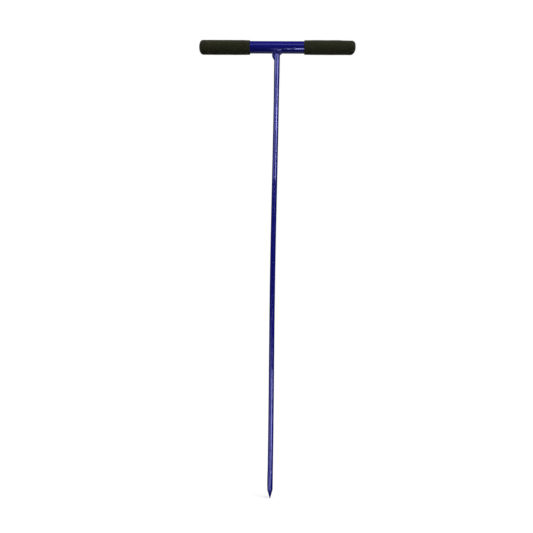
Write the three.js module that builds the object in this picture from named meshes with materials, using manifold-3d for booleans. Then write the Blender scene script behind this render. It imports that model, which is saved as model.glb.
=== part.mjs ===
// Steel probe rod: a T-handled ground probe in millimetres, +Z up.
// The origin is the tip of the point. The rod stands along +Z, the handle lies along X with the
// left grip at -X, and the front of the tool faces -Y.

import * as THREE from "three";
import { mergeVertices } from "three/addons/utils/BufferGeometryUtils.js";
import Module from "manifold-3d";

// Whole tool
const toolLength = 1219.2; // from the tip of the point to the top of the cross tube
const seatGap = 0.3; // between two pieces that touch
const cutOverrun = 2; // how far a cutting solid passes the face that it cuts

// Cross tube
const tubeDiameter = 33.4;
const tubeWall = 3.4;
const tubeLength = 402;

// Rod, with its point ground on it
const rodDiameter = 14.3;
const pointLength = 24;
const pointFlatDiameter = 1.6;
const pointShoulderRounding = 3; // length of the soft turn from the cone into the shank

// Foam grips, each closed at its outer end by a low dome
const gripLength = 137;
const gripWall = 2.8;
const gripEndThickness = 8.4;
const gripDomeDepth = 12;
const gripDomeFlatDiameter = 6;
const gripMouthRounding = 2;
const gripSwell = 0.25; // how much fuller the middle is than the mouth

// Fillet weld round the rod, under the tube
const weldEdge = 0.9; // thickness where the bead ends
const weldRoot = 1.5; // how far the uncut bead reaches into the rod and the tube
const legsOnTube = { right: 8, back: 9.5, left: 5.5, front: 11 };
const legsOnRod = { right: 7, back: 5, left: 6, front: 4.4 };
const lumpOnTube = 1.5; // the long run of weld at the left adds this to the leg on the tube
const lumpOnRod = 11.5; // and this to the leg on the rod
const lumpAngle = Math.PI; // where it lies round the rod, from the right by way of the back
const lumpSharpness = 9; // higher is narrower
const hollowShare = 0.3; // how far the bead's face is drawn in towards the corner
const lumpFullnessShare = 0.42; // how much of that the lump fills again, and more

// Smoothness of the round shapes
const tubeSides = 48;
const rodSides = 40;
const arcSteps = 4;
const domeSteps = 8;
const weldStations = 48;
const weldFaceSteps = 5;

// Sizes that follow
const tubeRadius = tubeDiameter / 2;
const boreRadius = tubeRadius - tubeWall;
const rodRadius = rodDiameter / 2;
const handleHeight = toolLength - tubeRadius;
const rodHoleRadius = rodRadius + seatGap;
const gripBoreRadius = tubeRadius + seatGap;
const gripRadius = gripBoreRadius + gripWall;
const gripDepth = gripLength - gripEndThickness;
const gripBottom = tubeLength / 2 + seatGap; // inner face of a grip's closed end, from the middle

// The rod's square end meets the far side of the bore at the front and back of its rim.
const rodEndHeight = handleHeight + Math.sqrt(boreRadius ** 2 - rodRadius ** 2) - seatGap;

const bluePaint = { color: 0x1b1c78, roughness: 0.35, metalness: 0.3 };
const darkFoam = { color: 0x26261e, roughness: 0.95, metalness: 0 };

const wasm = await Module();
wasm.setup();

function toSolid(geometry) {
  const bare = geometry.clone();
  bare.deleteAttribute("normal");
  bare.deleteAttribute("uv");
  const merged = mergeVertices(bare);
  return new wasm.Manifold(
    new wasm.Mesh({
      numProp: 3,
      vertProperties: new Float32Array(merged.attributes.position.array),
      triVerts: new Uint32Array(merged.index.array),
    }),
  );
}

function toGeometry(solid) {
  const cut = solid.getMesh();
  const geometry = new THREE.BufferGeometry();
  geometry.setAttribute("position", new THREE.BufferAttribute(cut.vertProperties, 3));
  geometry.setIndex(new THREE.BufferAttribute(cut.triVerts, 1));
  const faceted = geometry.toNonIndexed();
  faceted.computeVertexNormals();
  return faceted;
}

function named(name, geometry, finish) {
  const mesh = new THREE.Mesh(geometry, new THREE.MeshStandardMaterial(finish));
  mesh.name = name;
  return mesh;
}

// A cylinder whose axis is X, as the tube's is, with the same flats as the tube.
function barAlongX(radius, length) {
  const bar = new THREE.CylinderGeometry(radius, radius, length, tubeSides);
  bar.rotateZ(-Math.PI / 2);
  return bar;
}

function barAlongZ(radius, bottom, top) {
  const bar = new THREE.CylinderGeometry(radius, radius, top - bottom, rodSides);
  bar.rotateX(Math.PI / 2);
  bar.translate(0, 0, (top + bottom) / 2);
  return bar;
}

// Points of a quarter of an ellipse round (acrossCentre, alongCentre), for a lathe profile.
function quarterTurn(acrossCentre, alongCentre, acrossReach, alongReach, startAngle, steps) {
  const points = [];
  for (let step = 0; step <= steps; step += 1) {
    const angle = startAngle + (step / steps) * (Math.PI / 2);
    points.push(
      new THREE.Vector2(
        acrossCentre + acrossReach * Math.cos(angle),
        alongCentre + alongReach * Math.sin(angle),
      ),
    );
  }
  return points;
}

// The steel tube, open at both ends, with the rod's hole drilled through its lower wall.
function crossTube() {
  const blank = toSolid(barAlongX(tubeRadius, tubeLength));
  const bore = toSolid(barAlongX(boreRadius, tubeLength + 2 * cutOverrun));
  const drill = toSolid(barAlongZ(rodHoleRadius, -tubeRadius - cutOverrun, 0));
  const tube = named("handle_tube", toGeometry(blank.subtract(bore).subtract(drill)), bluePaint);
  tube.position.z = handleHeight;
  return tube;
}

// The solid rod: a cone ground to a small flat, a soft shoulder, and a square-cut upper end.
function probeRod() {
  const coneTop = pointLength - pointShoulderRounding;
  const flatRadius = pointFlatDiameter / 2;
  const shoulderRadius = flatRadius + (rodRadius - flatRadius) * (coneTop / pointLength);
  const turn = new THREE.QuadraticBezierCurve(
    new THREE.Vector2(shoulderRadius, coneTop),
    new THREE.Vector2(rodRadius, pointLength),
    new THREE.Vector2(rodRadius, pointLength + pointShoulderRounding),
  );
  const profile = [
    new THREE.Vector2(0, 0),
    new THREE.Vector2(flatRadius, 0),
    ...turn.getPoints(arcSteps),
    new THREE.Vector2(rodRadius, rodEndHeight),
    new THREE.Vector2(0, rodEndHeight),
  ];
  const body = new THREE.LatheGeometry(profile, rodSides);
  body.rotateX(Math.PI / 2);
  return named("probe_rod", body, bluePaint);
}

// A foam sleeve: closed, domed outer end, and a mouth with a soft edge. Its profile runs from the
// mouth at zero to the closed end, and the sleeve is turned so that its end faces along side (+1 or -1).
function foamGrip(name, side) {
  const endCentre = gripLength - gripDomeDepth;
  const mouthRadius = gripRadius - gripSwell;
  const mouthCentre = mouthRadius - gripMouthRounding;
  const flatRadius = gripDomeFlatDiameter / 2;
  const belly = new THREE.QuadraticBezierCurve(
    new THREE.Vector2(mouthRadius, gripMouthRounding),
    new THREE.Vector2(gripRadius + gripSwell, gripLength / 2),
    new THREE.Vector2(mouthRadius, endCentre),
  );
  const profile = [
    new THREE.Vector2(0, gripDepth),
    new THREE.Vector2(gripBoreRadius, gripDepth),
    new THREE.Vector2(gripBoreRadius, 0),
    ...quarterTurn(mouthCentre, gripMouthRounding, gripMouthRounding, gripMouthRounding, -Math.PI / 2, arcSteps),
    ...belly.getPoints(arcSteps).slice(1, -1),
    ...quarterTurn(flatRadius, endCentre, mouthRadius - flatRadius, gripDomeDepth, 0, domeSteps),
    new THREE.Vector2(0, gripLength),
  ];
  const sleeve = new THREE.LatheGeometry(profile, tubeSides);
  sleeve.rotateZ((-side * Math.PI) / 2);
  const grip = named(name, sleeve, darkFoam);
  grip.position.set(side * (gripBottom - gripDepth), 0, handleHeight);
  return grip;
}

// The value that a set of four sizes takes at an angle round the rod, from the right by way of the back.
function roundTheRod(sizes, angle) {
  const across = Math.cos(angle) ** 2;
  const along = Math.sin(angle) ** 2;
  const sideways = Math.cos(angle) > 0 ? sizes.right : sizes.left;
  const lengthways = Math.sin(angle) > 0 ? sizes.back : sizes.front;
  return across * sideways + along * lengthways;
}

// One section of the bead, at an angle round the rod, as points about the tube's axis. The leg on the
// tube is measured along its surface, so the bead wraps round the tube at the front and back.
function weldSection(angle) {
  const lump = Math.max(Math.cos(angle - lumpAngle), 0) ** lumpSharpness;
  const tubeLeg = roundTheRod(legsOnTube, angle) + lumpOnTube * lump;
  const rodLeg = roundTheRod(legsOnRod, angle) + lumpOnRod * lump;
  const outward = new THREE.Vector3(Math.cos(angle), Math.sin(angle), 0);
  const up = new THREE.Vector3(0, 0, 1);

  const cornerTurn = Math.asin((rodRadius * Math.sin(angle)) / tubeRadius);
  const cornerDepth = -tubeRadius * Math.cos(cornerTurn);
  const corner = outward.clone().multiplyScalar(rodRadius).setZ(cornerDepth);
  const toeTurn = cornerTurn + (tubeLeg * Math.sin(angle)) / tubeRadius;
  const offTube = new THREE.Vector3(0, Math.sin(toeTurn), -Math.cos(toeTurn));
  const tubeToe = offTube.clone().multiplyScalar(tubeRadius);
  tubeToe.x = (rodRadius + tubeLeg) * Math.cos(angle);
  const rodToe = corner.clone().addScaledVector(up, -rodLeg);

  const faceStart = tubeToe.clone().addScaledVector(offTube, weldEdge);
  const faceEnd = rodToe.clone().addScaledVector(outward, weldEdge);
  const drawnIn = hollowShare - lumpFullnessShare * lump;
  const pull = faceStart.clone().add(faceEnd).divideScalar(2).lerp(corner, drawnIn);
  const face = new THREE.QuadraticBezierCurve3(faceStart, pull, faceEnd);
  return [
    tubeToe.clone().addScaledVector(offTube, -weldRoot),
    ...face.getPoints(weldFaceSteps),
    rodToe.clone().addScaledVector(outward, -weldRoot),
    corner.clone().addScaledVector(outward, -weldRoot).addScaledVector(up, weldRoot),
  ];
}

// The bead: its sections joined into a ring, less the space that the tube and the rod take up.
function weldBead() {
  const sections = [];
  for (let station = 0; station < weldStations; station += 1) {
    sections.push(weldSection((station / weldStations) * 2 * Math.PI));
  }
  const perSection = sections[0].length;
  const index = [];
  for (let station = 0; station < weldStations; station += 1) {
    const here = station * perSection;
    const next = ((station + 1) % weldStations) * perSection;
    for (let point = 0; point < perSection; point += 1) {
      const after = (point + 1) % perSection;
      index.push(here + point, here + after, next + point);
      index.push(here + after, next + after, next + point);
    }
  }
  const ring = new THREE.BufferGeometry().setFromPoints(sections.flat());
  ring.setIndex(index);

  const tubeSpace = toSolid(barAlongX(tubeRadius + seatGap, tubeLength));
  const rodSpace = toSolid(barAlongZ(rodRadius + seatGap, -toolLength, tubeRadius));
  const bead = named("weld_bead", toGeometry(toSolid(ring).subtract(tubeSpace).subtract(rodSpace)), bluePaint);
  bead.position.z = handleHeight;
  return bead;
}

const probe = new THREE.Group();
probe.name = "steel_probe_rod";
probe.add(crossTube(), probeRod(), weldBead());
probe.add(foamGrip("left_grip", -1), foamGrip("right_grip", 1));

export default probe;
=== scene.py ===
import math
import random
import bmesh
import bpy
from mathutils import Matrix, Vector, noise


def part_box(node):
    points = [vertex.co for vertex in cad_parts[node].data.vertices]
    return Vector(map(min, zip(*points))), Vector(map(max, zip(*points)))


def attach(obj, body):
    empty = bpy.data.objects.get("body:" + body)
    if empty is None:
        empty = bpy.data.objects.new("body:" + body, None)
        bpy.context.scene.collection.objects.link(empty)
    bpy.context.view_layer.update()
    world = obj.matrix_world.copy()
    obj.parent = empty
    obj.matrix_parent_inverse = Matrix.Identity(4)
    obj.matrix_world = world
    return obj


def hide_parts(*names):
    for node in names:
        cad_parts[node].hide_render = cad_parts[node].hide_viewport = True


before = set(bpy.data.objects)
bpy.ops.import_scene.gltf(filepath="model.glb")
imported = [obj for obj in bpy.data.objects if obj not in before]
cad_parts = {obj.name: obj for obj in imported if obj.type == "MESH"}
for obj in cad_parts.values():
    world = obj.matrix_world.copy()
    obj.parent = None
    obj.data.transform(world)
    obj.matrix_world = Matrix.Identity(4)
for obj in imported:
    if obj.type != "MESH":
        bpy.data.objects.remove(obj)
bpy.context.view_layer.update()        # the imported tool, in metres: one body, five solids
print("frame loaded:", ", ".join(sorted(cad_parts)))

scene = bpy.context.scene
scene.view_settings.view_transform = "Standard"
mm = 0.001
fullTurn = 2 * math.pi
frontAngle = -math.pi / 2       # round the rod, from the right by way of the back
tubeLow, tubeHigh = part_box("handle_tube")
rodLow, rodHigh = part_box("probe_rod")
tubeRadius = (tubeHigh.z - tubeLow.z) / 2
rodRadius = (rodHigh.x - rodLow.x) / 2
handleHeight = (tubeHigh.z + tubeLow.z) / 2
underTube = handleHeight - tubeRadius
seedShares = (1, 1.7, 0.6)      # how far a seed of 1 moves the noise along each axis, in spans


# How far a surface wanders from its true shape at a point, as smooth noise of a given span.
def wander(point, span, amount, seed):
    shift = Vector([seed * share for share in seedShares])
    return amount * noise.noise(Vector(point) / span + shift)


# A soft rise from 0 to 1 between two values.
def smoothStep(value, low, high):
    share = min(max((value - low) / (high - low), 0), 1)
    return share * share * (3 - 2 * share)


# Even steps from low to high, each as near to the given step as fits.
def spread(low, high, step):
    count = max(round((high - low) / step), 1)
    return [low + (high - low) * index / count for index in range(count + 1)]


# Angles all the way round, from a start given as a share of one step.
def turnsRound(count, start=0):
    return [fullTurn * (index + start) / count for index in range(count)]


# A skin through rings of points. A looped one joins its last ring to its first, and any other
# is closed by a fan at each end. Edges that turn more than sharpTurn stay crisp.
def skin(name, rings, sharpTurn, looped=False):
    build = bmesh.new()
    rows = [[build.verts.new(point) for point in ring] for ring in rings]
    pairs = list(zip(rows, rows[1:]))
    if looped:
        pairs.append((rows[-1], rows[0]))
    for here, there in pairs:
        for index in range(len(here)):
            after = (index + 1) % len(here)
            build.faces.new((here[index], here[after], there[after], there[index]))
    if not looped:
        for row in (rows[0], rows[-1]):
            middle = build.verts.new(sum((vert.co for vert in row), Vector()) / len(row))
            for index in range(len(row)):
                build.faces.new((row[index], row[(index + 1) % len(row)], middle))
    bmesh.ops.recalc_face_normals(build, faces=build.faces)
    mesh = bpy.data.meshes.new(name)
    build.to_mesh(mesh)
    build.free()
    piece = bpy.data.objects.new(name, mesh)
    scene.collection.objects.link(piece)
    softenFaces(mesh, sharpTurn)
    return piece


# Shades a mesh smooth, apart from the edges that turn more than sharpTurn, in degrees.
def softenFaces(mesh, sharpTurn):
    build = bmesh.new()
    build.from_mesh(mesh)
    for face in build.faces:
        face.smooth = True
    for edge in build.edges:
        edge.smooth = edge.calc_face_angle(0) < math.radians(sharpTurn)
    build.to_mesh(mesh)
    build.free()


def finishPiece(piece, node, material):
    piece.data.materials.append(material)
    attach(piece, "root")
    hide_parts(node)
    print(piece.name, "has", len(piece.data.polygons), "faces")


# Cross tube: drawn pipe under paint, bored through, with the rod's hole in its lower wall
tubeLook = {
    "wall": 3.4 * mm,
    "endRounding": 0.6 * mm,
    "coat": 0.15 * mm,          # thickness of the paint
    "waviness": {"span": 40 * mm, "amount": 0.05 * mm, "seed": 3.1},    # how its surface wanders from round
    "holeClearance": 0.3 * mm,
    "sides": 144,
    "holeSides": 64,
    "stepLength": 3 * mm,
    "boreStepLength": 12 * mm,
    "sharpTurn": 35,            # degrees
    "drawn": (0.25, 1, 1),      # how the marks in its paint are drawn out: a share under 1 is longer
}


def makeCrossTube():
    look = tubeLook
    rounding = look["endRounding"]
    outside = spread(tubeLow.x + rounding, tubeHigh.x - rounding, look["stepLength"])
    inside = spread(tubeHigh.x, tubeLow.x, -look["boreStepLength"])
    profile = [(tubeLow.x, tubeRadius - rounding)]
    profile += [(x, tubeRadius) for x in outside]
    profile += [(tubeHigh.x, tubeRadius - rounding)]
    profile += [(x, tubeRadius - look["wall"]) for x in inside]
    rings = []
    for x, radius in profile:
        ring = []
        for angle in turnsRound(look["sides"]):
            place = Vector((x, radius * math.cos(angle), radius * math.sin(angle)))
            if radius == tubeRadius:
                proud = look["coat"] + wander(place, **look["waviness"])
                place.yz *= 1 + proud / radius
            ring.append(place + Vector((0, 0, handleHeight)))
        rings.append(ring)
    tube = skin("crossTube", rings, look["sharpTurn"], looped=True)
    drillRodHole(tube)
    return tube


def drillRodHole(tube):
    look = tubeLook
    holeRadius = rodRadius + look["holeClearance"]
    # half a step round, so that no corner of the drill meets a line of the tube's mesh
    turns = turnsRound(look["holeSides"], 0.5)
    drill = []
    for z in (handleHeight - 2 * tubeRadius, handleHeight):
        drill.append([(holeRadius * math.cos(turn), holeRadius * math.sin(turn), z) for turn in turns])
    cutter = skin("drill", drill, look["sharpTurn"])
    cut = tube.modifiers.new("hole", "BOOLEAN")
    cut.object = cutter
    cut.operation = "DIFFERENCE"
    cut.solver = "EXACT"
    bored = bpy.data.meshes.new_from_object(tube.evaluated_get(bpy.context.evaluated_depsgraph_get()))
    tube.modifiers.clear()
    tube.data = bored
    bpy.data.objects.remove(cutter)
    softenFaces(tube.data, look["sharpTurn"])


# Rod: round bar, bent by a hair, its point ground by hand, its paint thicker near both ends
rodLook = {
    "pointLength": 24 * mm,
    "flatRadius": 0.8 * mm,
    "shoulderRounding": 1.1 * mm,
    "grindFacets": 5,           # soft flats left by the grinder
    "grindDepthShare": 0.12,    # how deep they are
    "ridgeShare": 0.19,         # how far the ridges between them stand outside the even cone
    "grindTurn": -1.2,          # where the flats lie round the rod
    "waviness": {"span": 45 * mm, "amount": 0.06 * mm, "seed": 5.3},    # how its surface wanders from round
    "wavinessStart": (2 * mm, 20 * mm),     # the heights between which that grows to its full amount
    "coat": 0.15 * mm,          # thickness of the paint
    "coatRun": 0.5 * mm,        # a run of paint down the left, just above the point
    "coatRunSpan": (26 * mm, 34 * mm, 60 * mm, 76 * mm),
    "coatRunShares": (0.55, 0.45),          # of it, all round, and how much more at the left
    "coatUnderWeld": 0.45 * mm,     # and the paint is thicker over the length just under the weld
    "underWeldLength": 100 * mm,
    "bow": 1.8 * mm,            # how far the rod bends to the left, half way up
    "kink": 0.55 * mm,          # a lesser bend to and fro
    "kinks": 3,                 # how many of these there are over the length
    "doglegs": ((848 * mm, 0.7 * mm), (339 * mm, 0.45 * mm)),  # height, and how far each stands forward
    "doglegSpan": 55 * mm,
    "doglegRounding": 4 * mm,
    "nibHeight": 854 * mm,      # one dried drop of paint on the front
    "nibRadius": 1.3 * mm,
    "nibProud": 0.45 * mm,
    "nibSharpness": 1.6,
    "nibLengthShare": 0.7,      # lower makes it longer along the rod
    "nibReach": 3.25 * mm,      # how far above and below it the steps are fine
    "nibStep": 0.325 * mm,
    "sides": 96,
    "stepLength": 4 * mm,
    "fineStep": 0.7 * mm,       # at the point
    "fineAbovePoint": 4.4 * mm,
    "sharpTurn": 35,            # degrees
    "drawn": (1, 1, 0.12),
}


# How far the rod's middle lies from its straight line at a height, towards the right.
def rodMiddle(z):
    turn = math.pi * min(z / underTube, 1)
    return rodLook["kink"] * math.sin(rodLook["kinks"] * turn) - rodLook["bow"] * math.sin(turn)


# And how far it lies towards the front there.
def rodForward(z):
    look = rodLook
    forward = 0
    for height, reach in look["doglegs"]:
        off = math.hypot(z - height, look["doglegRounding"])
        forward += reach * math.exp((look["doglegRounding"] - off) / look["doglegSpan"])
    return forward


def rodRadiusAt(angle, z):
    look = rodLook
    slope = (rodRadius - look["flatRadius"]) / look["pointLength"]
    flat = 0.5 + 0.5 * math.cos(look["grindFacets"] * angle + look["grindTurn"])
    facet = 1 + look["ridgeShare"] - look["grindDepthShare"] * flat
    cone = look["flatRadius"] + slope * z * facet
    shank = rodRadius + look["coat"]
    # the smooth lesser of the two, so that the shoulder is soft
    blend = look["shoulderRounding"] * slope
    apart = (cone - shank) / blend
    radius = (cone + shank) / 2 - blend / 2 * math.sqrt(apart * apart + 1)
    low, full, high, end = look["coatRunSpan"]
    allRound, sideways = look["coatRunShares"]
    run = smoothStep(z, low, full) * (1 - smoothStep(z, high, end))
    run *= allRound - sideways * math.cos(angle)
    thick = smoothStep(z, underTube - look["underWeldLength"], underTube - look["underWeldLength"] / 2)
    return radius + look["coatRun"] * run + look["coatUnderWeld"] * thick


# How far the dried drop of paint stands out of the rod at a place.
def nibAt(angle, z):
    look = rodLook
    across = rodRadius * math.remainder(angle - frontAngle, fullTurn)
    off = math.hypot(across, (z - look["nibHeight"]) * look["nibLengthShare"]) / look["nibRadius"]
    return look["nibProud"] * math.exp(-off * off * look["nibSharpness"])


def rodHeights():
    look = rodLook
    fineTop = look["pointLength"] + look["fineAbovePoint"]
    heights = spread(0, fineTop, look["fineStep"]) + spread(fineTop, rodHigh.z, look["stepLength"])[1:]
    nib, reach = look["nibHeight"], look["nibReach"]
    heights += spread(nib - reach, nib + reach, look["nibStep"])
    return sorted(set(heights))


def makeGroundRod():
    look = rodLook
    rings = []
    for z in rodHeights():
        ring = []
        for angle in turnsRound(look["sides"]):
            radius = rodRadiusAt(angle, z)
            place = Vector((radius * math.cos(angle), radius * math.sin(angle), z))
            proud = smoothStep(z, *look["wavinessStart"]) * wander(place, **look["waviness"])
            proud += nibAt(angle, z)
            place.xy *= 1 + proud / radius
            place += Vector((rodMiddle(z), -rodForward(z), 0))
            ring.append(place)
        rings.append(ring)
    return skin("groundRod", rings, look["sharpTurn"])


# Weld: a rippled fillet all round the rod, full at the front, hollow at the right, and with a long
# run of metal down the rod's left side. Each set of four is met in turn round the rod.
weldLook = {
    "legsOnTube": {"right": 8 * mm, "back": 9.5 * mm, "left": 5.5 * mm, "front": 15.5 * mm},
    "legsOnRod": {"right": 7 * mm, "back": 5 * mm, "left": 6 * mm, "front": 4.8 * mm},
    "crowns": {"right": 0.1 * mm, "back": 1.1 * mm, "left": 1.2 * mm, "front": 0.8 * mm},
    "hollowShares": {"right": 0.5, "back": 0.2, "left": 0.3, "front": 0.0},  # of the way to the corner
    "film": 0.75 * mm,          # least thickness of the bead over the front of the tube
    "filmShare": 0.55,          # how far down the bead's face it has grown to that
    "filmSharpness": 1.5,       # higher keeps it nearer to the front
    "rimFullness": 0.7,         # lower makes the bead stand more steeply off the tube and the rod
    "lumpOnTube": 1.5 * mm,     # what the long run adds to the legs
    "lumpOnRod": 12.5 * mm,
    "lumpAngle": math.pi,
    "lumpSharpness": 11,        # higher is narrower
    "lumpFullnessShare": 0.6,   # how much less the long run is hollowed
    "climb": 5 * mm,            # how much further up the tube the bead goes beside its front
    "climbAngle": 0.24 * math.pi,
    "climbWidth": 0.11 * math.pi,
    "sunk": 0.35 * mm,          # how deep the bead's edges go under the surfaces
    "rootDepth": 1.2 * mm,      # and its root, into the rod and the tube
    "ripples": 27,
    "rippleHeight": 0.2 * mm,
    "rippleBow": 0.8,           # how far each ripple bows, in ripples
    "rippleRoundness": 2.4,     # higher is flatter on top, with narrower lines between
    "rippleFullness": 0.6,      # lower carries them nearer to the bead's edges
    "rippleWander": {"span": 7 * mm, "amount": 0.45, "seed": 29.0},     # in ripples
    "tubeToeWander": {"span": 6 * mm, "amount": 0.8 * mm, "seed": 11.0},
    "rodToeWander": {"span": 5 * mm, "amount": 0.8 * mm, "seed": 17.0},
    "lumps": {"span": 5 * mm, "amount": 0.45 * mm, "seed": 23.0},
    "pitAngle": -0.575 * math.pi,
    "pitPlaceShare": 0.92,      # of the way from the tube to the rod
    "pitOffRod": 1 * mm,        # how far its middle is from the rod
    "pitRadius": 1.7 * mm,
    "pitDepth": 1.3 * mm,
    "pitSharpness": 2,
    "stations": 384,
    "faceSteps": 30,
    "sharpTurn": 60,            # degrees
    "drawn": (1, 1, 1),
}
# Spatter: beads of metal thrown from the weld, painted over
spatterLook = {
    "onTube": 20,
    "onRod": 8,
    "nearest": 13 * mm,
    "furthest": 42 * mm,
    "nearness": 1.4,            # higher puts more of them near the weld
    "smallest": 0.30 * mm,
    "largest": 0.75 * mm,
    "smallness": 2,             # higher makes more of them small
    "sunkShare": 0.35,
    "turnShare": 0.75,          # of half a turn, each way round the tube from below
    "tumble": 6,                # radians that each may be turned, about two axes
    "subdivisions": 2,
    "seed": 5,
}


# The value that a set of four sizes takes at an angle round the rod, from the right by way of the back.
def roundTheRod(sizes, angle):
    sideways = sizes["right"] if math.cos(angle) > 0 else sizes["left"]
    lengthways = sizes["back"] if math.sin(angle) > 0 else sizes["front"]
    return math.cos(angle) ** 2 * sideways + math.sin(angle) ** 2 * lengthways


# How much of the long run there is at an angle, from 0 to 1.
def lumpAt(angle):
    return max(math.cos(angle - weldLook["lumpAngle"]), 0) ** weldLook["lumpSharpness"]


# The corner between the rod and the tube at an angle, and the bead's edges on the tube and on the
# rod, about the tube's middle. The leg on the tube is measured along its surface.
def weldCorners(angle):
    look = weldLook
    outward = Vector((math.cos(angle), math.sin(angle), 0))
    tubeLeg = roundTheRod(look["legsOnTube"], angle) + look["lumpOnTube"] * lumpAt(angle)
    rodLeg = roundTheRod(look["legsOnRod"], angle) + look["lumpOnRod"] * lumpAt(angle)
    tubeLeg += wander(outward * rodRadius, **look["tubeToeWander"])
    rodLeg += wander(outward * rodRadius, **look["rodToeWander"])

    cornerTurn = math.asin(rodRadius * math.sin(angle) / tubeRadius)
    corner = outward * rodRadius - Vector((0, 0, tubeRadius * math.cos(cornerTurn)))
    offFront = abs(math.remainder(angle - frontAngle, fullTurn))
    climb = look["climb"] * math.exp(-((offFront - look["climbAngle"]) / look["climbWidth"]) ** 2)
    toeTurn = cornerTurn + (tubeLeg + climb) * math.sin(angle) / tubeRadius
    offTube = Vector((0, math.sin(toeTurn), -math.cos(toeTurn)))
    tubeToe = offTube * (tubeRadius - look["sunk"])
    tubeToe.x = (rodRadius + tubeLeg) * math.cos(angle)
    rodToe = corner - Vector((0, 0, rodLeg)) - outward * look["sunk"]
    return corner, tubeToe, rodToe


# How far a point of the bead's face has to move away from the tube's middle to lie clear of the
# tube. The share is how far down the face the point is.
def filmLift(base, angle, share):
    look = weldLook
    grown = smoothStep(share, 0, look["filmShare"])
    film = look["film"] * max(-math.sin(angle), 0) ** look["filmSharpness"] * grown
    least = tubeRadius - look["sunk"] * (1 - grown) + film
    offAxis = Vector((0, base.y, base.z))
    return offAxis.normalized() * max(least - offAxis.length, 0)


# How far the bead stands out of its even face there: its crown, ripples, lumps and pit.
def beadProud(base, angle, share, faceLength):
    look = weldLook
    onRod = Vector((math.cos(angle), math.sin(angle), 0)) * rodRadius
    hump = math.sin(math.pi * share)
    phase = look["ripples"] * angle / fullTurn - look["rippleBow"] * hump
    phase += wander(onRod, **look["rippleWander"])
    ripple = 1 - abs(2 * (phase % 1) - 1) ** look["rippleRoundness"]
    proud = roundTheRod(look["crowns"], angle) * hump ** look["rimFullness"]
    proud += look["rippleHeight"] * ripple * hump ** look["rippleFullness"]
    proud += wander(base, **look["lumps"]) * hump
    offPit = math.hypot(
        (rodRadius + look["pitOffRod"]) * math.remainder(angle - look["pitAngle"], fullTurn),
        (share - look["pitPlaceShare"]) * faceLength,
    )
    return proud - look["pitDepth"] * math.exp(-(offPit / look["pitRadius"]) ** 2 * look["pitSharpness"])


def weldSection(angle):
    look = weldLook
    outward = Vector((math.cos(angle), math.sin(angle), 0))
    around = Vector((-math.sin(angle), math.cos(angle), 0))
    up = Vector((0, 0, 1))
    corner, tubeToe, rodToe = weldCorners(angle)
    drawnIn = roundTheRod(look["hollowShares"], angle) - look["lumpFullnessShare"] * lumpAt(angle)
    pull = ((tubeToe + rodToe) / 2).lerp(corner, drawnIn)
    faceOut = (rodToe - tubeToe).cross(around).normalized()
    if faceOut.dot(outward - up) < 0:
        faceOut.negate()
    points = []
    for step in range(look["faceSteps"] + 1):
        share = step / look["faceSteps"]
        base = tubeToe * (1 - share) ** 2 + pull * 2 * share * (1 - share) + rodToe * share ** 2
        base += filmLift(base, angle, share)
        points.append(base + faceOut * beadProud(base, angle, share, (tubeToe - rodToe).length))
    points.append(corner + (up - outward) * look["rootDepth"])
    return [point + up * handleHeight for point in points]


def throwSpatter(mesh):
    look = spatterLook
    chance = random.Random(look["seed"])
    build = bmesh.new()
    build.from_mesh(mesh)
    moreSize = look["largest"] - look["smallest"]
    moreReach = look["furthest"] - look["nearest"]
    for index in range(look["onTube"] + look["onRod"]):
        size = look["smallest"] + moreSize * chance.random() ** look["smallness"]
        depth = size * look["sunkShare"]
        reach = look["nearest"] + moreReach * chance.random() ** look["nearness"]
        if index < look["onTube"]:
            turn = chance.uniform(-look["turnShare"], look["turnShare"]) * math.pi
            place = Vector((chance.choice((-1, 1)) * reach, math.sin(turn), -math.cos(turn)))
            place.yz *= tubeRadius - depth
            place.z += handleHeight
        else:
            turn = chance.uniform(-math.pi, math.pi)
            across = rodRadius - depth
            height = underTube - reach
            x = rodMiddle(height) + across * math.cos(turn)
            place = Vector((x, across * math.sin(turn), height))
        tumbled = Matrix.Rotation(chance.uniform(0, look["tumble"]), 4, "X")
        tumbled = tumbled @ Matrix.Rotation(chance.uniform(0, look["tumble"]), 4, "Z")
        placed = Matrix.Translation(place) @ tumbled
        bmesh.ops.create_icosphere(build, subdivisions=look["subdivisions"], radius=size, matrix=placed)
    build.to_mesh(mesh)
    build.free()


def makeWeldBead():
    look = weldLook
    rings = [weldSection(angle) for angle in turnsRound(look["stations"])]
    bead = skin("weldBead", rings, look["sharpTurn"], looped=True)
    throwSpatter(bead.data)
    softenFaces(bead.data, look["sharpTurn"])
    return bead


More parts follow.
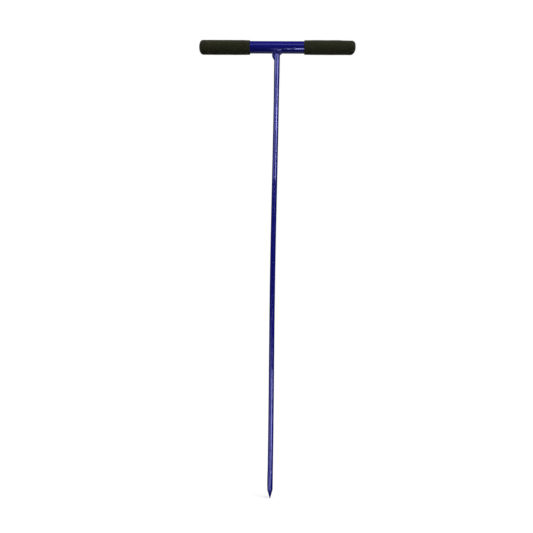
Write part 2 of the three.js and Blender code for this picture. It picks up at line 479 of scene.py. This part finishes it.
# Foam grips: closed at the outer end, rounded by the mould, cut square or softened at the mouth
leftGripLook = {
    "wall": 3.25 * mm,
    "wallExtraBelow": 0.5 * mm,     # thicker below, thinner above
    "mouthSlimmer": 0.45 * mm,      # how much thinner the sleeve gets towards its mouth
    "mouthTaperLength": 22 * mm,
    "mouthRounding": 2.4 * mm,
    "domeDepth": 10.2 * mm,
    "domeDepthExtraBelow": 0.8 * mm,
    "domeFlatRadius": 4.5 * mm,
    "domeRise": 0.6 * mm,           # how far the dome's middle lies above the tube's
    "pinchAbove": 0.0 * mm,         # drawn in along the top near the end
    "pinchLength": 38 * mm,
    "swell": 0.1 * mm,              # how much fuller the sleeve is at its fullest place
    "swellPlaceShare": 0.45,
    "seed": 31.0,
}
rightGripLook = {
    "wall": 3.1 * mm,
    "wallExtraBelow": 0.05 * mm,
    "mouthSlimmer": 0.25 * mm,
    "mouthTaperLength": 30 * mm,
    "mouthRounding": 0.9 * mm,
    "domeDepth": 12.0 * mm,
    "domeDepthExtraBelow": 2.6 * mm,
    "domeFlatRadius": 2.6 * mm,
    "domeRise": 3.0 * mm,
    "pinchAbove": 1.0 * mm,
    "pinchLength": 48 * mm,
    "swell": 0.22 * mm,
    "swellPlaceShare": 0.72,
    "seed": 47.0,
}
# What both grips have in common
gripLook = {
    "boreClearance": 0.2 * mm,
    "boreEnd": 1.0 * mm,            # where the bore's soft edge starts, from the mouth
    "boreEdge": ((0.3 * mm, 0.1 * mm), (0.0 * mm, 0.5 * mm)),   # from the mouth, and out of the bore
    "boreMargin": 1.0 * mm,         # foam nearer to the tube than this has no dents
    "endThickness": 8.4 * mm,
    "endMargin": 6.0 * mm,          # but this much of the closed end has them all over
    "endDish": 0.1 * mm,            # the middle of the closed end is drawn in a little
    "dishShares": (0.75, 0.5, 0.25, 0.08),  # rings of the dish, as shares of the dome's flat
    "dents": {"span": 22 * mm, "amount": 0.28 * mm},    # soft unevenness of the foam
    "grain": {"span": 2.6 * mm, "amount": 0.06 * mm},
    "grainSeedStep": 5,             # from the seed of the dents to the grain's
    "dentLeastRadius": 4 * mm,      # nearer to the axis the dents fade
    "pinchFullShare": 0.6,          # of its length, from the end, over which the pinch is full
    "pinchSharpness": 1.5,          # higher keeps it nearer to the top
    "swellSharpness": 3,            # higher makes the fuller place shorter
    "sides": 144,
    "sideSteps": 73,
    "boreStepLength": 9.6 * mm,
    "arcSteps": 16,
    "sharpTurn": 50,                # degrees
}


# Points of the sleeve's section at an angle round it: how far each is from the mouth and from the
# middle, and how far that middle has risen.
def gripSection(look, angle, length):
    common = gripLook
    below = -math.sin(angle)
    outer = tubeRadius + look["wall"] + look["wallExtraBelow"] * below
    bore = tubeRadius + common["boreClearance"]
    mouth = look["mouthRounding"]
    depth = look["domeDepth"] + look["domeDepthExtraBelow"] * below
    quarter = [math.pi / 2 * step / common["arcSteps"] for step in range(common["arcSteps"] + 1)]
    pinchStart = length - look["pinchLength"]
    pinchFull = length - look["pinchLength"] * common["pinchFullShare"]

    def sideRadius(along):
        thin = look["mouthSlimmer"] * (1 - smoothStep(along, 0, look["mouthTaperLength"]))
        pinch = smoothStep(along, pinchStart, pinchFull)
        thin += look["pinchAbove"] * pinch * max(-below, 0) ** common["pinchSharpness"]
        offSwell = (along / length - look["swellPlaceShare"]) * common["swellSharpness"]
        return outer - thin + look["swell"] * (math.exp(-offSwell * offSwell) - 1)

    deep = length - common["endThickness"]
    points = [(along, bore, 0) for along in spread(deep, common["boreEnd"], -common["boreStepLength"])]
    points += [(along, bore + out, 0) for along, out in common["boreEdge"]]
    rim = sideRadius(mouth) - mouth
    points += [(mouth - mouth * math.cos(turn), rim + mouth * math.sin(turn), 0) for turn in quarter]
    for step in range(1, common["sideSteps"] + 1):
        along = mouth + (length - depth - mouth) * step / common["sideSteps"]
        points.append((along, sideRadius(along), 0))
    flat = look["domeFlatRadius"]
    reach = sideRadius(length - depth) - flat
    for turn in quarter[1:]:
        rise = look["domeRise"] * (1 - math.cos(turn))
        points.append((length - depth + depth * math.sin(turn), flat + reach * math.cos(turn), rise))
    for share in common["dishShares"]:
        points.append((length - common["endDish"] * (1 - share ** 2), flat * share, look["domeRise"]))
    return points


def makeGrip(name, node, look, facing):
    common = gripLook
    low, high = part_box(node)
    length = high.x - low.x
    mouthPlace = low.x if facing > 0 else high.x
    columns = []
    for angle in turnsRound(common["sides"]):
        column = []
        for along, radius, rise in gripSection(look, angle, length):
            x = mouthPlace + facing * along
            place = Vector((x, radius * math.cos(angle), radius * math.sin(angle)))
            if radius > tubeRadius + common["boreMargin"] or along > length - common["endMargin"]:
                proud = wander(place, seed=look["seed"], **common["dents"])
                proud += wander(place, seed=look["seed"] + common["grainSeedStep"], **common["grain"])
                place.yz *= 1 + proud / max(radius, common["dentLeastRadius"])
            column.append(place + Vector((0, 0, handleHeight + rise)))
        columns.append(column)
    return skin(name, list(zip(*columns)), common["sharpTurn"])


# Materials

def startMaterial(name):
    material = bpy.data.materials.new(name)
    material.use_nodes = True
    tree = material.node_tree
    tree.nodes.clear()
    shader = tree.nodes.new("ShaderNodeBsdfPrincipled")
    output = tree.nodes.new("ShaderNodeOutputMaterial")
    tree.links.new(shader.outputs["BSDF"], output.inputs["Surface"])
    return material, tree, shader


# Adds a node, sets its named inputs to values or links, and returns it.
def addNode(tree, kind, inputs=None, **settings):
    node = tree.nodes.new(kind)
    for key, value in settings.items():
        setattr(node, key, value)
    for key, value in (inputs or {}).items():
        if isinstance(value, bpy.types.NodeSocket):
            tree.links.new(value, node.inputs[key])
        else:
            node.inputs[key].default_value = value
    return node


def grain(tree, place, size, stretch=(1, 1, 1), detail=2.0, roughness=0.5):
    scaled = addNode(tree, "ShaderNodeMapping", {"Vector": place, "Scale": stretch})
    inputs = {"Vector": scaled.outputs[0], "Scale": 1 / size, "Detail": detail, "Roughness": roughness}
    return addNode(tree, "ShaderNodeTexNoise", inputs).outputs["Fac"]


# Distance from the middle of the nearest cell, as a share of the cells' spacing.
def cells(tree, place, size):
    inputs = {"Vector": place, "Scale": 1 / size}
    return addNode(tree, "ShaderNodeTexVoronoi", inputs).outputs["Distance"]


def mapRange(tree, value, fromLow, fromHigh, toLow, toHigh):
    inputs = {0: value, 1: fromLow, 2: fromHigh, 3: toLow, 4: toHigh}
    return addNode(tree, "ShaderNodeMapRange", inputs).outputs[0]


def combine(tree, operation, first, second=0.0):
    return addNode(tree, "ShaderNodeMath", {0: first, 1: second}, operation=operation).outputs[0]


def mixColour(tree, share, first, second):
    inputs = {0: share, 6: first, 7: second}
    return addNode(tree, "ShaderNodeMix", inputs, data_type="RGBA").outputs[2]


def bump(tree, height, depth, normal=None):
    inputs = {"Height": height, "Distance": depth}
    if normal is not None:
        inputs["Normal"] = normal
    return addNode(tree, "ShaderNodeBump", inputs).outputs["Normal"]


# Each range is two values of a noise, and what they become.
paintLook = {
    "blue": (0.0075, 0.0080, 0.190, 1),
    "deepBlue": (0.0055, 0.0060, 0.145, 1),
    "cloud": {"size": 70 * mm, "detail": 3.0},
    "cloudRange": (0.3, 0.7, 0, 0.6),
    "mottle": {"size": 3.5 * mm, "detail": 3.0, "roughness": 0.6},
    "mottleRange": (0.3, 0.7, 0, 0.4),
    "scratched": (0.016, 0.018, 0.260, 1),
    "scratches": {"size": 0.8 * mm, "detail": 2.0},
    "scratchStretch": 0.05,
    "scratchRange": (0.68, 0.76, 0, 1),
    "patches": {"size": 30 * mm, "detail": 2.0},    # where there are scratches
    "patchRange": (0.5, 0.62, 0, 1),
    "scratchColourShare": 0.5,
    "scratchDullness": 0.14,
    "scuff": {"size": 9 * mm, "detail": 4.0, "roughness": 0.65},
    "scuffRange": (0.35, 0.75),     # from the glossiest to the dullest
    "roughness": (0.05, 0.14),  # at the glossiest and at the dullest
    "weldRoughness": 0.15,      # added where the metal under the paint is rough
    "wave": {"size": 14 * mm, "detail": 1.0},
    "waveDepth": 0.12 * mm,
    "peel": {"size": 2.6 * mm, "detail": 1.5, "roughness": 0.4},    # orange peel of the sprayed coat
    "peelDepth": 0.05 * mm,
    "dustSpacing": 7 * mm,      # between the specks of dust caught in the paint
    "dustRange": (0.045, 0.081, 1, 0),
    "dustDepth": 0.06 * mm,
    "pores": {"size": 1.1 * mm, "detail": 3.0, "roughness": 0.6},   # of the weld's rough metal
    "poreDepth": 0.05 * mm,
    "ior": 1.5,
    "specularTint": (0.46, 0.47, 1.0, 1),
}


# Semi-gloss blue enamel. Drawn is how the metal under it was drawn out, which the coat still shows.
def bluePaint(name, drawn, roughMetal):
    look = paintLook
    material, tree, shader = startMaterial(name)
    place = addNode(tree, "ShaderNodeTexCoord").outputs["Object"]
    cloud = mapRange(tree, grain(tree, place, **look["cloud"]), *look["cloudRange"])
    mottle = mapRange(tree, grain(tree, place, **look["mottle"]), *look["mottleRange"])
    colour = mixColour(tree, combine(tree, "ADD", cloud, mottle), look["blue"], look["deepBlue"])
    fine = [look["scratchStretch"] if share < 1 else 1 for share in drawn]
    scratches = grain(tree, place, stretch=fine, **look["scratches"])
    patches = mapRange(tree, grain(tree, place, **look["patches"]), *look["patchRange"])
    scratched = combine(tree, "MULTIPLY", mapRange(tree, scratches, *look["scratchRange"]), patches)
    seen = combine(tree, "MULTIPLY", scratched, look["scratchColourShare"])
    tree.links.new(mixColour(tree, seen, colour, look["scratched"]), shader.inputs["Base Color"])

    glossiest, dullest = look["roughness"]
    if roughMetal:
        glossiest, dullest = glossiest + look["weldRoughness"], dullest + look["weldRoughness"]
    scuff = grain(tree, place, stretch=drawn, **look["scuff"])
    scuffed = mapRange(tree, scuff, *look["scuffRange"], glossiest, dullest)
    dull = combine(tree, "ADD", scuffed, combine(tree, "MULTIPLY", scratched, look["scratchDullness"]))
    tree.links.new(dull, shader.inputs["Roughness"])

    dust = mapRange(tree, cells(tree, place, look["dustSpacing"]), *look["dustRange"])
    normal = bump(tree, grain(tree, place, stretch=drawn, **look["wave"]), look["waveDepth"])
    normal = bump(tree, grain(tree, place, **look["peel"]), look["peelDepth"], normal)
    normal = bump(tree, dust, look["dustDepth"], normal)
    if roughMetal:
        normal = bump(tree, grain(tree, place, **look["pores"]), look["poreDepth"], normal)
    tree.links.new(normal, shader.inputs["Normal"])
    shader.inputs["IOR"].default_value = look["ior"]
    shader.inputs["Specular Tint"].default_value = look["specularTint"]
    return material


foamLook = {
    "foam": (0.0240, 0.0248, 0.0115, 1),
    # the skin's darker tone, which also serves as the painted shade deep in the cells
    "skin": (0.0160, 0.0165, 0.0085, 1),
    "fleck": (0.0480, 0.0490, 0.0310, 1),
    # painted shade: the near-black colour that the larger pores take
    "poreShadeColour": (0.0060, 0.0062, 0.0040, 1),
    "streaks": {"size": 1.7 * mm, "stretch": (0.08, 1, 1), "detail": 3.0},
    "streakRange": (0.3, 0.7, 0.1, 1),
    "streakDepth": 0.27 * mm,
    "wear": {"size": 26 * mm, "detail": 3.0},
    "wearRange": (0.3, 0.7, 0.6, 1),
    "cloud": {"size": 45 * mm, "detail": 2.0},
    "cloudRange": (0.35, 0.65, 0.7, 1),
    "cellSize": 0.9 * mm,
    "cellRange": (0.0, 0.35, 0, 1),
    "paintedCellShade": 0.45,          # painted shade: how far the colour darkens towards the skin's deep in a cell
    "cellDepth": 0.35 * mm,
    "poreSpacing": 3.0 * mm,    # between the larger pores
    "poreRange": (0.14, 0.238, 1, 0),
    # how far the larger pores are darkened towards it, as painted shade
    "poreShadeShare": 0.75,
    "poreDepth": 0.4 * mm,
    "flecks": {"size": 0.9 * mm, "detail": 1.0},
    "fleckRange": (0.66, 0.78, 0, 0.8),
    "roughnessRange": (0.3, 0.7, 0.88, 0.97),
    "ior": 1.4,
    "specular": 0.1,
    "sheen": 0.04,
}


# Matte closed-cell foam: fine open cells in a thin skin, drawn out lengthways, with painted shade in the
# cells and the larger pores.
def darkFoam(name):
    look = foamLook
    material, tree, shader = startMaterial(name)
    place = addNode(tree, "ShaderNodeTexCoord").outputs["Object"]
    streaks = grain(tree, place, **look["streaks"])
    wear = mapRange(tree, grain(tree, place, **look["wear"]), *look["wearRange"])
    cloud = mapRange(tree, grain(tree, place, **look["cloud"]), *look["cloudRange"])
    pitted = mapRange(tree, cells(tree, place, look["cellSize"]), *look["cellRange"])
    opened = mapRange(tree, cells(tree, place, look["poreSpacing"]), *look["poreRange"])
    flecks = mapRange(tree, grain(tree, place, **look["flecks"]), *look["fleckRange"])

    shade = combine(tree, "MULTIPLY", mapRange(tree, streaks, *look["streakRange"]), wear)
    shade = combine(tree, "MULTIPLY", shade, cloud)
    colour = mixColour(tree, shade, look["skin"], look["foam"])
    colour = mixColour(tree, flecks, colour, look["fleck"])
    # Painted shade: the bottoms of the cells are darkened towards the skin's colour.
    colour = mixColour(tree, mapRange(tree, pitted, 0, 1, look["paintedCellShade"], 0), colour, look["skin"])
    # Painted shade: the larger pores are darkened towards a near-black colour.
    colour = mixColour(tree, combine(tree, "MULTIPLY", opened, look["poreShadeShare"]), colour, look["poreShadeColour"])
    tree.links.new(colour, shader.inputs["Base Color"])
    tree.links.new(mapRange(tree, streaks, *look["roughnessRange"]), shader.inputs["Roughness"])

    normal = bump(tree, streaks, look["streakDepth"])
    normal = bump(tree, pitted, look["cellDepth"], normal)
    normal = bump(tree, combine(tree, "SUBTRACT", 1.0, opened), look["poreDepth"], normal)
    tree.links.new(normal, shader.inputs["Normal"])
    shader.inputs["IOR"].default_value = look["ior"]
    shader.inputs["Specular IOR Level"].default_value = look["specular"]
    shader.inputs["Sheen Weight"].default_value = look["sheen"]
    return material


tubePaint = bluePaint("tubePaint", tubeLook["drawn"], roughMetal=False)
rodPaint = bluePaint("rodPaint", rodLook["drawn"], roughMetal=False)
weldPaint = bluePaint("weldPaint", weldLook["drawn"], roughMetal=True)
leftFoam = darkFoam("leftFoam")
rightFoam = darkFoam("rightFoam")
print("materials ready")

finishPiece(makeCrossTube(), "handle_tube", tubePaint)
finishPiece(makeGroundRod(), "probe_rod", rodPaint)
finishPiece(makeWeldBead(), "weld_bead", weldPaint)
leftGrip = makeGrip("leftGrip", "left_grip", leftGripLook, -1)
finishPiece(leftGrip, "left_grip", leftFoam)
rightGrip = makeGrip("rightGrip", "right_grip", rightGripLook, 1)
finishPiece(rightGrip, "right_grip", rightFoam)
print("pieces ready")


# Camera: in front and a little to the right, just below the tool's middle, tipped as the photograph is
cameraLook = {
    "distance": 3.5,            # metres
    "azimuth": 3.88,            # degrees to the right of the front
    "sideShift": -0.0190,       # to the right, at that distance
    "height": 0.522,
    "pitch": 1.52,              # degrees up
    "roll": 0.952,              # degrees, so that the picture turns clockwise
    "imagePixels": 533,
    "focalPixels": 1312.5,
    "sensorWidth": 36,          # millimetres, as cameras give it
}


def makeCamera():
    look = cameraLook
    turn, pitch, roll = (math.radians(look[key]) for key in ("azimuth", "pitch", "roll"))
    out = Vector((math.sin(turn), -math.cos(turn), 0))
    right = Vector((math.cos(turn), math.sin(turn), 0))
    forward = Vector((0, 0, math.sin(pitch))) - out * math.cos(pitch)
    up = right.cross(forward)
    tippedRight = right * math.cos(roll) + up * math.sin(roll)
    tippedUp = up * math.cos(roll) - right * math.sin(roll)
    data = bpy.data.cameras.new("photoCamera")
    data.sensor_width = look["sensorWidth"]
    data.lens = data.sensor_width * look["focalPixels"] / look["imagePixels"]
    camera = bpy.data.objects.new("photoCamera", data)
    scene.collection.objects.link(camera)
    axes = Matrix((tippedRight, tippedUp, -forward)).transposed().to_4x4()
    place = out * look["distance"] + right * look["sideShift"] + Vector((0, 0, look["height"]))
    camera.matrix_world = Matrix.Translation(place) @ axes
    scene.camera = camera


makeCamera()
print("camera ready")


# Studio: white surroundings, panels that the gloss shows, a soft sun and a pale floor
white = (1, 1, 1, 1)
studioLook = {
    "ambient": 0.50,            # light from the side, for matte surfaces
    "ambientFromAbove": 0.58,
    "ambientFromFront": 0.15,
    "ambientLeast": 0.02,
    "dimRoom": 0.06,            # what gloss shows of the room in front
    "backdropSpread": 32,       # degrees of white behind the tool, each way
    "backdropSoft": 0.02,
    "undersideRange": (-0.7, -0.95, 0, 0.8),    # white below, as the direction turns down,
    "behindRange": (-0.12, 0.22, 0, 1),         # and only at the sides and behind
    "sunStrength": 0.9,
    "sunAngle": 25,             # degrees across, for a soft shadow
    "sunPlace": (0.7, -1.1, 2.2),
    "floorSize": 60.0,
    "floorShade": 0.8,
    "floorLift": 0.15,          # what the camera sees on top, so that the floor is white
}
# Light panels, each from and to an azimuth right of the front and an elevation, in degrees
panels = {
    "rightWindow": {"azimuth": (15, 50), "elevation": (5.3, 36), "soft": 0.2, "strength": 15.5},
    "leftWall": {"azimuth": (-72, -14), "elevation": (5.3, 36), "soft": 0.2, "strength": 2.8},
    "leftWallTop": {"azimuth": (-72, -12), "elevation": (9.4, 36), "soft": 0.5, "strength": 4.6},
    "lowRight": {"azimuth": (6, 46), "elevation": (-6.4, -3.15), "soft": 0.4, "strength": 16.5},
    "lowLeft": {"azimuth": (-72, -14), "elevation": (-18, -1.5), "soft": 0.7, "strength": 2.7},
    "lowest": {"azimuth": (-30, -10), "elevation": (-18, -7.3), "soft": 0.8, "strength": 6},
    "lowestRight": {"azimuth": (7, 28), "elevation": (-18, -6.4), "soft": 0.5, "strength": 9},
    "frontStrip": {"azimuth": (32, 48), "elevation": (-52, -19), "soft": 1.5, "strength": 2.5},
    "frontStripLow": {"azimuth": (14, 36), "elevation": (-85, -52), "soft": 1.5, "strength": 4},
    "leftStrip": {"azimuth": (-118, -96), "elevation": (-52, -13), "soft": 1.5, "strength": 4},
    "rightStrip": {"azimuth": (98, 120), "elevation": (-52, -13), "soft": 1.5, "strength": 5},
    "backStrip": {"azimuth": (-158, -138), "elevation": (-52, -13), "soft": 1.5, "strength": 6},
    "overhead": {"azimuth": (-80, 80), "elevation": (37, 61), "soft": 2.5, "strength": 1.4},
    "overheadRight": {"azimuth": (-6, 80), "elevation": (37, 57), "soft": 2.5, "strength": 1.2},
}
# Lamps below the handle and in front of it, end to end, for the bright line along the tube. Middle
# and length are along the tube, in metres.
lineLamps = {
    "lineLamp": {"middle": 0.100, "length": 0.130, "watts": 0.52},
    "lineLampFaint": {"middle": 0.0295, "length": 0.011, "watts": 0.006},
    "lineLampSpot": {"middle": 0.0190, "length": 0.010, "watts": 0.026},
    "lineLampFaintest": {"middle": 0.0075, "length": 0.013, "watts": 0.006},
    "lineLampWeld": {"middle": -0.018, "length": 0.030, "watts": 0.010},
}
lineLampLook = {
    "outFront": 0.220,
    "height": 1.043,
    "breadth": 0.10,
}


# A share that is 1 between two limits and 0 outside them, with soft edges.
def band(tree, value, low, high, soft):
    limits = {0: value, 1: low - soft, 2: low + soft}
    rise = addNode(tree, "ShaderNodeMapRange", limits, interpolation_type="SMOOTHSTEP")
    limits = {0: value, 1: high - soft, 2: high + soft, 3: 1.0, 4: 0.0}
    fall = addNode(tree, "ShaderNodeMapRange", limits, interpolation_type="SMOOTHSTEP")
    return combine(tree, "MULTIPLY", rise.outputs[0], fall.outputs[0])


# What gloss shows: white behind the tool and below it, a dim room in front, and the panels.
def glossyRoom(tree, parts, toFront):
    look = studioLook
    azimuth = combine(tree, "MULTIPLY", combine(tree, "ARCTAN2", parts[0], toFront), math.degrees(1))
    elevation = combine(tree, "MULTIPLY", combine(tree, "ARCSINE", parts[2]), math.degrees(1))
    edge, soft = math.cos(math.radians(look["backdropSpread"])), look["backdropSoft"]
    backdrop = mapRange(tree, parts[1], edge - soft, edge + soft, 0, 1)
    shown = combine(tree, "ADD", backdrop, look["dimRoom"])
    below = mapRange(tree, parts[2], *look["undersideRange"])
    behind = mapRange(tree, parts[1], *look["behindRange"])
    shown = combine(tree, "ADD", shown, combine(tree, "MULTIPLY", below, behind))
    for panel in panels.values():
        across = band(tree, azimuth, *panel["azimuth"], panel["soft"])
        upward = band(tree, elevation, *panel["elevation"], panel["soft"])
        lit = combine(tree, "MULTIPLY", combine(tree, "MULTIPLY", across, upward), panel["strength"])
        shown = combine(tree, "ADD", shown, lit)
    return shown


# What lights matte surfaces: a plain light, stronger from above and from the front.
def ambientLight(tree, parts, toFront):
    look = studioLook
    fromAbove = combine(tree, "MULTIPLY", parts[2], look["ambientFromAbove"])
    fromFront = combine(tree, "MULTIPLY", toFront, look["ambientFromFront"])
    ambient = combine(tree, "ADD", fromFront, combine(tree, "ADD", fromAbove, look["ambient"]))
    return combine(tree, "MAXIMUM", ambient, look["ambientLeast"])


def makeSurroundings():
    world = bpy.data.worlds.new("studio")
    scene.world = world
    world.use_nodes = True
    tree = world.node_tree
    background = tree.nodes["Background"]
    direction = addNode(tree, "ShaderNodeTexCoord").outputs["Generated"]
    parts = addNode(tree, "ShaderNodeSeparateXYZ", {0: direction}).outputs
    toFront = combine(tree, "MULTIPLY", parts[1], -1.0)
    shown = glossyRoom(tree, parts, toFront)
    ambient = ambientLight(tree, parts, toFront)
    rays = addNode(tree, "ShaderNodeLightPath").outputs
    clear = combine(tree, "ADD", rays["Is Camera Ray"], rays["Is Transmission Ray"])
    other = combine(tree, "SUBTRACT", combine(tree, "SUBTRACT", 1.0, clear), rays["Is Glossy Ray"])
    strength = combine(tree, "ADD", clear, combine(tree, "MULTIPLY", rays["Is Glossy Ray"], shown))
    strength = combine(tree, "ADD", strength, combine(tree, "MULTIPLY", other, ambient))
    tree.links.new(strength, background.inputs["Strength"])
    background.inputs["Color"].default_value = white


def makeSun():
    lamp = bpy.data.lights.new("sun", "SUN")
    lamp.energy = studioLook["sunStrength"]
    lamp.angle = math.radians(studioLook["sunAngle"])
    sun = bpy.data.objects.new("sun", lamp)
    sun.rotation_mode = "QUATERNION"
    sun.rotation_quaternion = Vector(studioLook["sunPlace"]).to_track_quat("Z", "Y")
    sun.visible_glossy = False
    scene.collection.objects.link(sun)


def makeLineLamp(name, line):
    look = lineLampLook
    lamp = bpy.data.lights.new(name, "AREA")
    lamp.shape = "RECTANGLE"
    lamp.size = line["length"]
    lamp.size_y = look["breadth"]
    lamp.energy = line["watts"]
    strip = bpy.data.objects.new(name, lamp)
    strip.location = (line["middle"], -look["outFront"], look["height"])
    strip.rotation_mode = "QUATERNION"
    aim = Vector((0, tubeRadius - look["outFront"], look["height"] - handleHeight))
    strip.rotation_quaternion = aim.to_track_quat("Z", "Y")
    strip.visible_camera = False
    strip.visible_diffuse = False
    scene.collection.objects.link(strip)


def makeFloor():
    look = studioLook
    half = look["floorSize"] / 2
    corners = [(-half, -half, 0), (half, -half, 0), (half, half, 0), (-half, half, 0)]
    mesh = bpy.data.meshes.new("studioFloor")
    mesh.from_pydata(corners, [], [(0, 1, 2, 3)])
    floor = bpy.data.objects.new("studioFloor", mesh)
    scene.collection.objects.link(floor)
    material, tree, shader = startMaterial("floorPaper")
    shader.inputs["Base Color"].default_value = (look["floorShade"],) * 3 + (1,)
    shader.inputs["Roughness"].default_value = 1.0
    shader.inputs["Specular IOR Level"].default_value = 0.0
    shader.inputs["Emission Color"].default_value = white
    toCamera = addNode(tree, "ShaderNodeLightPath").outputs["Is Camera Ray"]
    lift = combine(tree, "MULTIPLY", toCamera, look["floorLift"])
    tree.links.new(lift, shader.inputs["Emission Strength"])
    mesh.materials.append(material)
    floor.visible_diffuse = False
    floor.visible_glossy = False


makeSurroundings()
makeSun()
for name, line in lineLamps.items():
    makeLineLamp(name, line)
makeFloor()
print("studio ready")
